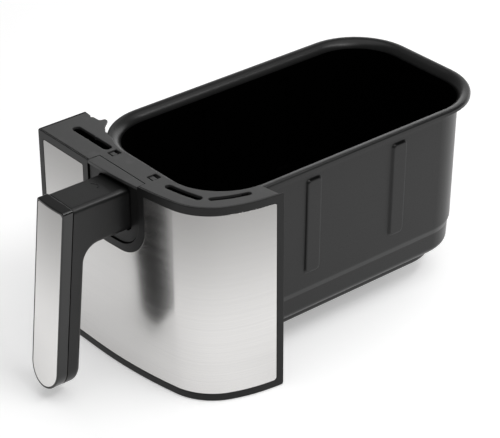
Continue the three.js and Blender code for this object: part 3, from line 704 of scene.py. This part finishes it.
side_wall = lay_across(plate([side_view], 0, FRAME_WALL, 0.4))
lip_view = rounded([
    (0.8, LIP_LOW, 0.2), (SIDE_DEPTH, LIP_LOW, 0.2), (SIDE_DEPTH, FRONT_HEIGHT, 1),
    (0.8, FRONT_HEIGHT, 0.3)])
side_lip = lay_across(plate([lip_view], 0, LIP_WALL, 0.3))
make("front_housing", join(frame_front, side_wall, side_lip), "black_plastic", "front_frame", HOUSING)

# %% [markdown]
# ### Handle bezel
# Between the steel and the arm sits a U-shaped insert. It fills the frame's notch, set back a little,
# and its top is a shelf that lies level with the top cover and hooks into two windows in it. It is
# drawn flat with its opening for the arm, bent like the rest, and the shelf and hooks are added.

# %% Bezel
ARM = {"centre": 89.8, "half": 16.2, "top": 154.5, "bottom": 120.5}
ARM_ROOM, FACE_FRONT, FACE_BACK = 0.8, 1.2, 5.6
shelf_low = FRONT_HEIGHT - COVER

arm_left, arm_right = (along_front(ARM["centre"] + side * (ARM["half"] + ARM_ROOM)) for side in (-1, 1))
arm_top, arm_bottom = ARM["top"] + ARM_ROOM, ARM["bottom"] - ARM_ROOM
arm_hole = rounded([
    (arm_left, arm_top, 4.5), (arm_right, arm_top, 4.5), (arm_right, arm_bottom, 4.5),
    (arm_left, arm_bottom, 4.5)])
u_face = rounded(u_corners(U["half"] - 0.1, U["bottom"] + 0.1, U["radius"] - 0.1, shelf_low + 0.4))
face_plate = bend(stand(plate([u_face, arm_hole], FACE_FRONT, FACE_BACK, 0.5)))
print("bezel face:", len(face_plate.faces), "faces, bent round the front")

# %% Shelf and snap hooks
SHELF_BACK, SNAPS, SNAP_HALF = 10.5, (65.2, 111.6), 2.4
HOOK_FRONT, HOOK_BACK, CATCH_FRONT = 9.5, 22.5, 18.6

shelf_left, shelf_right = along_front(U["centre"] - U["half"]), along_front(U["centre"] + U["half"])
shelf_front = [front_line(shelf_left + (shelf_right - shelf_left) * k / 12) for k in range(13)]
shelf_plan = [*shelf_front, Vector((shelf_front[-1].x, SHELF_BACK)), Vector((shelf_front[0].x, SHELF_BACK))]
shelf = plate([shelf_plan], shelf_low, FRONT_HEIGHT, 0.35)
bezel = join(face_plate, shelf)
for x in SNAPS:
    hook = rectangle(x - SNAP_HALF, x + SNAP_HALF, HOOK_FRONT, HOOK_BACK, 0.3, 0.6)
    catch = rectangle(x - SNAP_HALF, x + SNAP_HALF, CATCH_FRONT, HOOK_BACK, 0.4)
    join(bezel, plate([hook], shelf_low - 3.2, shelf_low - 0.7, 0.3),
         plate([catch], shelf_low - 1.2, FRONT_HEIGHT - 0.8, 0.3))
# painted shade: below the shelf the moulding takes the darker housing black, so its upright face is darker
# than its top, which takes the cover's grey
for face in bezel.faces:
    face.material_index = int(face.calc_center_median().z > shelf_low + 0.5)
make("bezel_insert", bezel, "black_plastic", "handle_bezel", HOUSING, COVER_GREY)

# %% [markdown]
# ## Top cover
# The cover closes the hollow behind the front and carries the cooling slots. It laps the front of
# the pan's rim with a thin lip, and leaves a small scalloped tongue at the left where it keys into
# the body. All of it is one outline with five openings, so it is one plate. It is then cut away for
# the bezel's shelf, and from below where the rim runs under the lip.

# %% Slots and windows
VENTS = [
    ([(18.5, 21.8), (37, 21.8), (55, 21.8)], 7), ([(129, 20.8), (142, 23.2), (154.5, 26.9)], 5.6),
    ([(161.5, 33), (167.6, 44.5), (171.6, 57)], 4.8)]
WINDOW = {"half": 3.6, "front": 17, "back": 25, "radius": 0.7}
SLOT_BEND, NEARLY_ROUND = 60, 0.98


def slot_outline(path, width):
    """A round-ended slot along a bent path of three points."""
    start, middle, end = (Vector(point) for point in path)
    first, last = (middle - start).normalized(), (end - middle).normalized()
    turned = first.lerp(last, 0.5).normalized()
    half = width / 2
    start, end = start - first * half, end + last * half
    sides = []
    for sign in (1, -1):
        offsets = [Vector((-way.y, way.x)) * sign * half for way in (first, turned, last)]
        sides.append([
            (*(start + offsets[0]), half * NEARLY_ROUND), (*(middle + offsets[1]), SLOT_BEND),
            (*(end + offsets[2]), half * NEARLY_ROUND)])
    return rounded(sides[0] + sides[1][::-1])


slots = [slot_outline(*vent) for vent in VENTS]
windows = [
    rectangle(x - WINDOW["half"], x + WINDOW["half"], WINDOW["front"], WINDOW["back"], WINDOW["radius"])
    for x in SNAPS]
print("the cover has", len(slots), "slots and", len(windows), "windows")

# %% Cover
COVER_EDGE, COVER_LAP, LAP_IN, SEAM = 1.65, 1.0, 4.0, 0.6
COVER_START, COVER_END = 1.3, DEVELOPED - 3.4

places = [COVER_START, *bend_places(COVER_START, COVER_END), COVER_END]
front_edge = [front_line(s, COVER_EDGE) for s in places]
rim_left, rim_right, rim_front = (
    RIM["left"] + RIM["radius"], RIM["right"] - RIM["radius"], RIM["front"] + RIM["radius"])
lap, lap_step = RIM["radius"] - LAP_IN, radians(5)
lap_arcs = arc((rim_right, rim_front), lap, radians(-3), radians(-90), lap_step)
lap_arcs += arc((rim_left, rim_front), lap, radians(-90), radians(-118), lap_step)
back_edge = rounded([
    (*lap_arcs[-1], 0), (36, 34.6, 8), (27, 40.7, 4), (21.8, 46.8, 1), (19, 46.6, 0.8), (18, 42.3, 1.6),
    (10.5, 41.9, 1.2), (10.2, 39.8, 0.9), (7.4, 41.8, 0.9), (COVER_EDGE, 42.4, 0.6), (COVER_EDGE, 30, 0)],
    closed=False)
cover_plan = [*front_edge, Vector((170.8, 71.1)), *lap_arcs, *back_edge[1:-1]]
cover = plate([cover_plan, *windows, *slots], shelf_low, FRONT_HEIGHT, 0.55, 3)
print("cover:", len(cover.faces), "faces before it is cut")

# %% Cut the cover for the shelf and the rim
CLEAR, CUTTER_EDGE = 5, 0.01

shelf_half = U["half"] + SEAM
room = rectangle(U["centre"] - shelf_half, U["centre"] + shelf_half, -CLEAR, SHELF_BACK + SEAM, 0, 0.4)
cover = cut(cover, plate([room], shelf_low - CLEAR, FRONT_HEIGHT + CLEAR, CUTTER_EDGE, 0))
rim_room = bmesh.new()
lower, upper = (ring(rim_room, -2 * GAP, z) for z in (shelf_low - CLEAR, FRONT_HEIGHT - COVER_LAP))
bmesh.ops.bridge_loops(rim_room, edges=lower + upper)
bmesh.ops.holes_fill(rim_room, edges=rim_room.edges, sides=0)
bmesh.ops.recalc_face_normals(rim_room, faces=rim_room.faces)
make("vent_cover", cut(cover, rim_room), "cover_plastic", "top_cover", COVER_GREY)

# %% [markdown]
# ## Handle
# The arm and the back of the grip are one black moulding with generous round edges. Seen from the
# side it is an L with a fillet in its corner, and seen from the front the grip ends in a half round.
# One plate can have only one of these outlines, so there are two: the side view down to the middle of
# the grip, and the leaning front view below it, both rounded along their edges. The gloss trim closes
# the grip's front, and the steel inlay lies in a recess in it.

# %% The handle's outlines
LEAN, FACE, GRIP, TRIM = 0.1, -53.0, 21.5, 9.6
HANDLE_TOP, HANDLE_BOTTOM, HANDLE_HALF, HANDLE_X = ARM["top"], 9.5, ARM["half"], ARM["centre"]
ARM_END, INNER_CORNER, SIDE_ROUND, ROUND_STEPS = 8.4, 13.5, 4.5, 6


def face_y(z):
    """How far forward the grip's front face is at a height."""
    return FACE - LEAN * (HANDLE_TOP - z)


def rear_of(z):
    """How far forward the back of the grip is at a height."""
    return face_y(z) + GRIP


def lean(bm):
    """Lean an upright piece out from its top, as the grip leans away from the front."""
    for vert in bm.verts:
        vert.co.y -= LEAN * (HANDLE_TOP - vert.co.z)
    return bm


def grip_outline(inset, top, corner):
    """The grip's front view: square above, and almost a half round below."""
    half = HANDLE_HALF - inset
    left, right, low = HANDLE_X - half, HANDLE_X + half, HANDLE_BOTTOM + inset
    end = half * 0.995
    return rounded([(left, top, corner), (left, low, end), (right, low, end), (right, top, corner)])


print("the grip's foot is", round(face_y(HANDLE_TOP) - face_y(HANDLE_BOTTOM), 1), "mm in front of its top")

# %% [markdown]
# ### Two plates, one moulding
# Both plates are drawn too long. The plane of the trim's seam cuts their fronts off, and the cuts are
# closed. A level plane then takes off the surplus of each, and their open ends are merged there, point
# to point, so the moulding is one closed shape.

# %% Handle body
BELOW, SPLIT, OVER, MEETING = -20, 62, 12, 0.15


def close_up(bm):
    bmesh.ops.holes_fill(bm, edges=[edge for edge in bm.edges if edge.is_boundary], sides=0)


def cut_off(bm, point, normal):
    """Remove what lies past a plane, and leave the cut open."""
    geometry = [*bm.verts, *bm.edges, *bm.faces]
    bmesh.ops.bisect_plane(
        bm, geom=geometry, dist=ON_PLANE, plane_co=point, plane_no=normal, clear_outer=True)


side_view = rounded([
    (ARM_END, ARM["bottom"], 0), (rear_of(ARM["bottom"]), ARM["bottom"], INNER_CORNER),
    (rear_of(BELOW), BELOW, 0), (face_y(BELOW) - OVER, BELOW, 0),
    (face_y(HANDLE_TOP) - OVER, HANDLE_TOP, 0), (ARM_END, HANDLE_TOP, 0)])
handle_left, handle_right = HANDLE_X - HANDLE_HALF, HANDLE_X + HANDLE_HALF
upper = lay_across(plate([side_view], handle_left, handle_right, SIDE_ROUND, ROUND_STEPS))
front_view = grip_outline(0, HANDLE_TOP + 40, 0)
lower = lean(stand(plate([front_view], FACE - 8, FACE + GRIP, SIDE_ROUND, ROUND_STEPS)))
for half, side in ((upper, -1), (lower, 1)):
    cut_off(half, (0, FACE + TRIM + GAP, HANDLE_TOP), (0, -1, LEAN))
    close_up(half)
    cut_off(half, (0, 0, SPLIT), (0, 0, side))
grip = join(upper, lower)
bmesh.ops.remove_doubles(grip, verts=grip.verts, dist=MEETING)
close_up(grip)
print("grip: open edges left where its halves meet", sum(edge.is_boundary for edge in grip.edges))

chevron = rounded([
    (81.6, -12.2, 0.2), (82.8, -12.6, 0.2), (87.9, -9.9, 0.3), (90.2, -12.9, 0.2), (91.2, -12.3, 0.2),
    (88.2, -8.6, 0.3)])
grip = join(grip, plate([chevron], HANDLE_TOP - 0.3, HANDLE_TOP + 0.2, 0.08))
make("grip_and_arm", grip, "handle_plastic", "handle_body", GRIP_BLACK, sharp=38)

# %% [markdown]
# ### Trim and inlay
# The trim's front is slightly crowned, so that it takes the light from edge to edge, and the inlay
# follows it. Both are cut into strips along the grip, and then each strip is set back by how far it
# lies from the middle.

# %% Trim and inlay
INLAY_BORDER, INLAY_GAP, RECESS = 1.4, 0.25, 1.1
CROWN, CROWN_FADE, STRIPS = 1.1, 6, 8


def crown(bm):
    """Set a grip's front back towards its edges; further behind the front the effect fades out."""
    slice_up(bm, "x", [HANDLE_X + HANDLE_HALF * k / STRIPS for k in range(1 - STRIPS, STRIPS)])
    front = min(vert.co.y for vert in bm.verts)
    for vert in bm.verts:
        away = (vert.co.x - HANDLE_X) / HANDLE_HALF
        vert.co.y += CROWN * away * away * max(0, 1 - (vert.co.y - front) / CROWN_FADE)
    return bm


def inlay_outline(inset, corner):
    return grip_outline(inset, HANDLE_TOP - inset, corner)


trim = stand(plate([grip_outline(0, HANDLE_TOP, 2.2)], FACE, FACE + TRIM, 0.8, 3))
recess = plate([inlay_outline(INLAY_BORDER, 2.6)], FACE - 4, FACE + RECESS, CUTTER_EDGE, 0)
make("gloss_trim", lean(crown(cut(trim, stand(recess)))), "gloss_black", "handle_trim", GLOSS_BLACK)
inlay = stand(plate([inlay_outline(INLAY_BORDER + INLAY_GAP, 2.4)], FACE + 0.1, FACE + 0.9, 0.25))
make("steel_inlay", lean(crown(inlay)), "brushed_steel", "handle_inlay", INLAY_STEEL)

# %% [markdown]
# ## Crisper plate
# The plate sits low in the pan and keeps food off the bottom, so air can pass under it. It is a
# sheet with a turned-down skirt, rows of staggered holes, and a larger hole to lift it by. The sheet
# and its holes are one rounded plate, and the skirt is a rounded band under its edge.

# %% Crisper plate
PLATE_INSET, PLATE_TOP, PLATE, SKIRT = 19.5, 44, 1.5, 7
HOLE, PITCH, LIFT_HOLE, HOLE_SIDES, LIFT_SIDES = 3.6, 17, 11, 14, 40
ROWS, COLUMNS, WIDEST, CORNER_X, CORNER_Y = 6, 3, 52, 32, 92


def pan_outline(inset):
    radius = max(RIM["radius"] - inset, TIGHTEST)
    return rectangle(
        RIM["left"] + inset, RIM["right"] - inset, RIM["front"] + inset, RIM["back"] - inset, radius)


def circle(x, y, radius, sides):
    turns = [2 * pi * k / sides for k in range(sides)]
    return [Vector((x + radius * cos(a), y + radius * sin(a))) for a in turns]


holes = [circle(middle_x, middle_y, LIFT_HOLE, LIFT_SIDES)]
for row in range(-ROWS, ROWS + 1):
    for column in range(-COLUMNS, COLUMNS + 1):
        x, y = column * PITCH + (PITCH / 2 if row % 2 else 0), row * PITCH
        in_corner = abs(x) > CORNER_X and abs(y) > CORNER_Y
        in_lift = hypot(x, y) < LIFT_HOLE + HOLE + 1
        if abs(x) < WIDEST and not in_corner and not in_lift:
            holes.append(circle(middle_x + x, middle_y + y, HOLE, HOLE_SIDES))
crisper = plate([pan_outline(PLATE_INSET), *holes], PLATE_TOP - PLATE, PLATE_TOP, 0.45, 1)
band = [pan_outline(PLATE_INSET), pan_outline(PLATE_INSET + PLATE)]
skirt = plate(band, PLATE_TOP - SKIRT, PLATE_TOP - PLATE + 0.2, 0.3, 1)
make("crisper_sheet", join(crisper, skirt), "pan_nonstick", "crisper_plate", PLATE_COATING, body="crisper")

# %% [markdown]
# ### Silicone clips
# Four soft clips grip the plate's edge, one in the middle of each side. They press on the pan's wall,
# so they hold the plate up and keep it from rattling and from scratching the coating. A clip has the
# same section from end to end, so it is a plate of that section, turned to face its wall.

# %% Clips
CLIP_HALF, CLIP_REACH, CLIP_GRIP = 12, 4.2, -3

half_x = (RIM["right"] - RIM["left"]) / 2 - PLATE_INSET
half_y = (RIM["back"] - RIM["front"]) / 2 - PLATE_INSET
clip_low = PLATE_TOP - SKIRT - 1
clip_section = rounded([
    (GAP, clip_low, 0.4), (2.5, clip_low, 0.8), (CLIP_REACH, PLATE_TOP, 2),
    (CLIP_REACH, PLATE_TOP + 2, 1.5), (2.5, PLATE_TOP + 3.6, 1), (CLIP_GRIP, PLATE_TOP + 2.4, 0.9),
    (CLIP_GRIP, PLATE_TOP + GAP, 0), (GAP, PLATE_TOP + GAP, 0)])
for side, turned, x, y in (
        ("right", 0, middle_x + half_x, middle_y), ("back", 90, middle_x, middle_y + half_y),
        ("left", 180, middle_x - half_x, middle_y), ("front", 270, middle_x, middle_y - half_y)):
    clip = plate([clip_section], -CLIP_HALF, CLIP_HALF, 0.5, 2)
    facing = Matrix.Rotation(radians(turned), 3, "Z") @ Matrix.Rotation(pi / 2, 3, "X")
    bmesh.ops.rotate(clip, verts=clip.verts, matrix=facing)
    bmesh.ops.translate(clip, verts=clip.verts, vec=(x, y, 0))
    make(f"silicone_clip_{side}", clip, "silicone", f"crisper_bumper_{side}", SILICONE, body="crisper")

# %% [markdown]
# ## Back of the housing
# The rear cover hugs the pan's front wall, leaves a window for the pan's bracket and shuts the
# housing from below. It is a bent wall on a flat floor, both rounded plates. Four pan-head screws hold
# it to the frame's bosses, and two more sit in the back of the grip.

# %% Rear cover
HOUSING_INSET, HOUSING_WALL, HOUSING_LOW, HOUSING_HIGH = 6.2, 2.0, 3.0, 154.6
HOUSING_LEFT, HOUSING_RIGHT, HOUSING_END = 38.8, 69.4, 182.2
BRACKET_WINDOW = (57, 120, 62, 148, 3)


def housing_line(step):
    """The rear cover's line in plan, hugging the pan, at a step behind its front face."""
    radius = RIM["radius"] - HOUSING_INSET - step
    left_start = pi - asin((HOUSING_LEFT + step - rim_front) / radius)
    right_end = asin((HOUSING_RIGHT + step - rim_front) / radius)
    return [
        Vector((FRAME_WALL + GAP, HOUSING_LEFT + step)),
        *arc((rim_left, rim_front), radius, left_start, 1.5 * pi, radians(6)),
        *arc((rim_right, rim_front), radius, -pi / 2, right_end, radians(6)),
        Vector((HOUSING_END, HOUSING_RIGHT + step))]


wall_plan = [*housing_line(0), *housing_line(HOUSING_WALL)[::-1]]
rear_wall = plate([wall_plan], HOUSING_LOW, HOUSING_HIGH, 0.3, 1)
rear_wall = cut(rear_wall, stand(plate([rectangle(*BRACKET_WINDOW)], 15, 55, CUTTER_EDGE, 0)))
floor_end = DEVELOPED - 4
places = [FRAME_WALL + GAP, *bend_places(3.4, floor_end), floor_end]
inner_front = [front_line(s, FRAME_WALL + GAP) for s in places]
floor_plan = [*inner_front, *housing_line(HOUSING_WALL - 0.2)[::-1]]
rear_floor = plate([floor_plan], HOUSING_LOW, HOUSING_LOW + 2, 0.3, 1)
make("rear_housing", join(rear_wall, rear_floor), "black_plastic", "rear_cover", HOUSING)

# %% [markdown]
# ### Screws
# A pan-head screw is a turned part: half of its section, spun once round its axis, gives the head and
# the shank. The cross recess is a small plus, cut into the head.

# %% Screws
SHANK, HEAD, TURNING_STEPS = 1.7, 3.4, 20
CROSS_ARM, CROSS_HALF, CROSS_ROUND = 1.9, 0.42, 0.2


def screw(x, y, z, length):
    """A screw that points back into the front, with its head's seat at the given place."""
    bm = bmesh.new()
    section = [
        (0, length), (1.1, length), (SHANK, length - 1.5), (SHANK, -GAP), (HEAD, -GAP), (HEAD, -1.1),
        (3.1, -1.7), (2.2, -2.1), (0, -2.2)]
    points = [bm.verts.new((radius, 0, depth)) for radius, depth in section]
    profile = [bm.edges.new(pair) for pair in zip(points, points[1:])]
    bmesh.ops.spin(
        bm, geom=points + profile, cent=(0, 0, 0), axis=(0, 0, 1), angle=2 * pi, steps=TURNING_STEPS,
        use_merge=True)
    bmesh.ops.remove_doubles(bm, verts=bm.verts, dist=0.001)
    bmesh.ops.recalc_face_normals(bm, faces=bm.faces)
    quarter = [
        (CROSS_ARM, CROSS_HALF, CROSS_ROUND), (CROSS_HALF, CROSS_HALF, 0),
        (CROSS_HALF, CROSS_ARM, CROSS_ROUND)]
    plus = []
    for _ in range(4):
        plus += quarter
        quarter = [(-v, u, radius) for u, v, radius in quarter]
    bm = cut(bm, plate([rounded(plus)], -4, -0.9, CUTTER_EDGE, 0))
    bmesh.ops.rotate(bm, verts=bm.verts, matrix=Matrix.Rotation(pi / 2, 3, "X"))
    bmesh.ops.translate(bm, verts=bm.verts, vec=(x, y, z))
    return bm


HOUSING_SCREWS = [(x, y, z) for x, y in ((13, HOUSING_LEFT), (174, HOUSING_RIGHT)) for z in (24, 134)]
for i, (x, y, z) in enumerate(HOUSING_SCREWS, 1):
    make(f"housing_bolt_{i}", screw(x, y + HOUSING_WALL, z, 13), "zinc_steel", f"housing_screw_{i}", ZINC)
for i, z in enumerate((58, 96), 1):
    make(f"grip_bolt_{i}", screw(HANDLE_X, rear_of(z) - 3, z, 12), "zinc_steel", f"grip_screw_{i}", ZINC)

# %% [markdown]
# ## Hidden metalwork
# The bracket, its studs and nuts, the handle's steel core and its two screws are plain parts whose
# shape is already right, so they stay as they are and only get a plated finish.

# %% Finish the parts that stay
HIDDEN = ["pan_bracket", "handle_core", "handle_screw_1", "handle_screw_2"]
HIDDEN += [f"pan_{part}_{i}" for part in ("stud", "nut") for i in range(1, 5)]
for name in HIDDEN:
    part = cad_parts[name]
    for spot in part.material_slots:
        spot.material = ZINC
print("plated:", ", ".join(HIDDEN))

# %% [markdown]
# ## Studio
# The drawer stands on a plain pale floor in soft light, as for a catalogue. A large lamp overhead
# lights the top surfaces, and a wide bright panel behind draws a thin light along every edge that
# turns away. A small lamp brightens the table at the right, which the bent steel mirrors, and a
# narrow strip lays a highlight along the rim. The room itself is kept dimmer, so that the black parts
# stay black. The floor is part of the studio and not of the object.

# %% Studio
def lamp(name, place, aim, width, height, radiance):
    """A soft rectangular lamp, with its power worked out from how bright its face is to look."""
    data = bpy.data.lights.new(name, "AREA")
    data.shape, data.size, data.size_y = "RECTANGLE", width, height
    data.energy = radiance * pi * width * height
    holder = bpy.data.objects.new(name, data)
    way = Vector(aim) - Vector(place)
    holder.matrix_world = Matrix.Translation(place) @ way.to_track_quat("-Z", "Y").to_matrix().to_4x4()
    bpy.context.scene.collection.objects.link(holder)


lamp("overhead", (0.1, 0.1, 1.5), (0, 0, 0), 1.6, 1.6, 1.15)
lamp("panel_behind", (-0.9, 1.8, 0.5), (0, 0, 0.1), 2.6, 1.2, 1.6)
lamp("right_table", (0.55, -0.05, 0.75), (0.42, -0.12, 0.0), 0.5, 0.5, 1.6)
lamp("strip", (0.75, 0.35, 1.2), (0, 0, 0.1), 1.1, 0.14, 10)

world = bpy.data.worlds.new("studio")
bpy.context.scene.world = world
world.use_nodes = True
background = world.node_tree.nodes["Background"]
background.inputs["Color"].default_value = (1, 1, 1, 1)
background.inputs["Strength"].default_value = 0.25
bpy.context.scene.view_settings.view_transform = "Standard"

# %% Floor
FLOOR_REACH, FLOOR_DROP = 4, 0.0006

floor_finish = Finish("studio_floor")
dust = floor_finish.noise(9, 4.0)
floor_finish.set(
    Base_Color=floor_finish.blend(dust, (0.86, 0.86, 0.86, 1), (0.9, 0.9, 0.9, 1)),
    Roughness=0.8 + dust * 0.1, Emission_Color=(1, 1, 1, 1), Emission_Strength=0.36, Specular_IOR_Level=0.1)
ground = bmesh.new()
bmesh.ops.create_grid(ground, x_segments=8, y_segments=8, size=FLOOR_REACH)
bmesh.ops.translate(ground, verts=ground.verts, vec=(0, 0, cad_box[0][2] - FLOOR_DROP))
floor = to_object(ground, "studio_floor")
floor.data.materials.append(floor_finish.material)
floor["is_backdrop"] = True
print("floor:", len(floor.data.polygons), "faces at", round(floor.data.vertices[0].co.z / MM, 1), "mm")

# %% Sizes and finish
visual_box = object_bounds()
for label, box in (("CAD", cad_box), ("visual", visual_box)):
    print(label, "box in mm:", *([round(v / MM, 1) for v in corner] for corner in box))
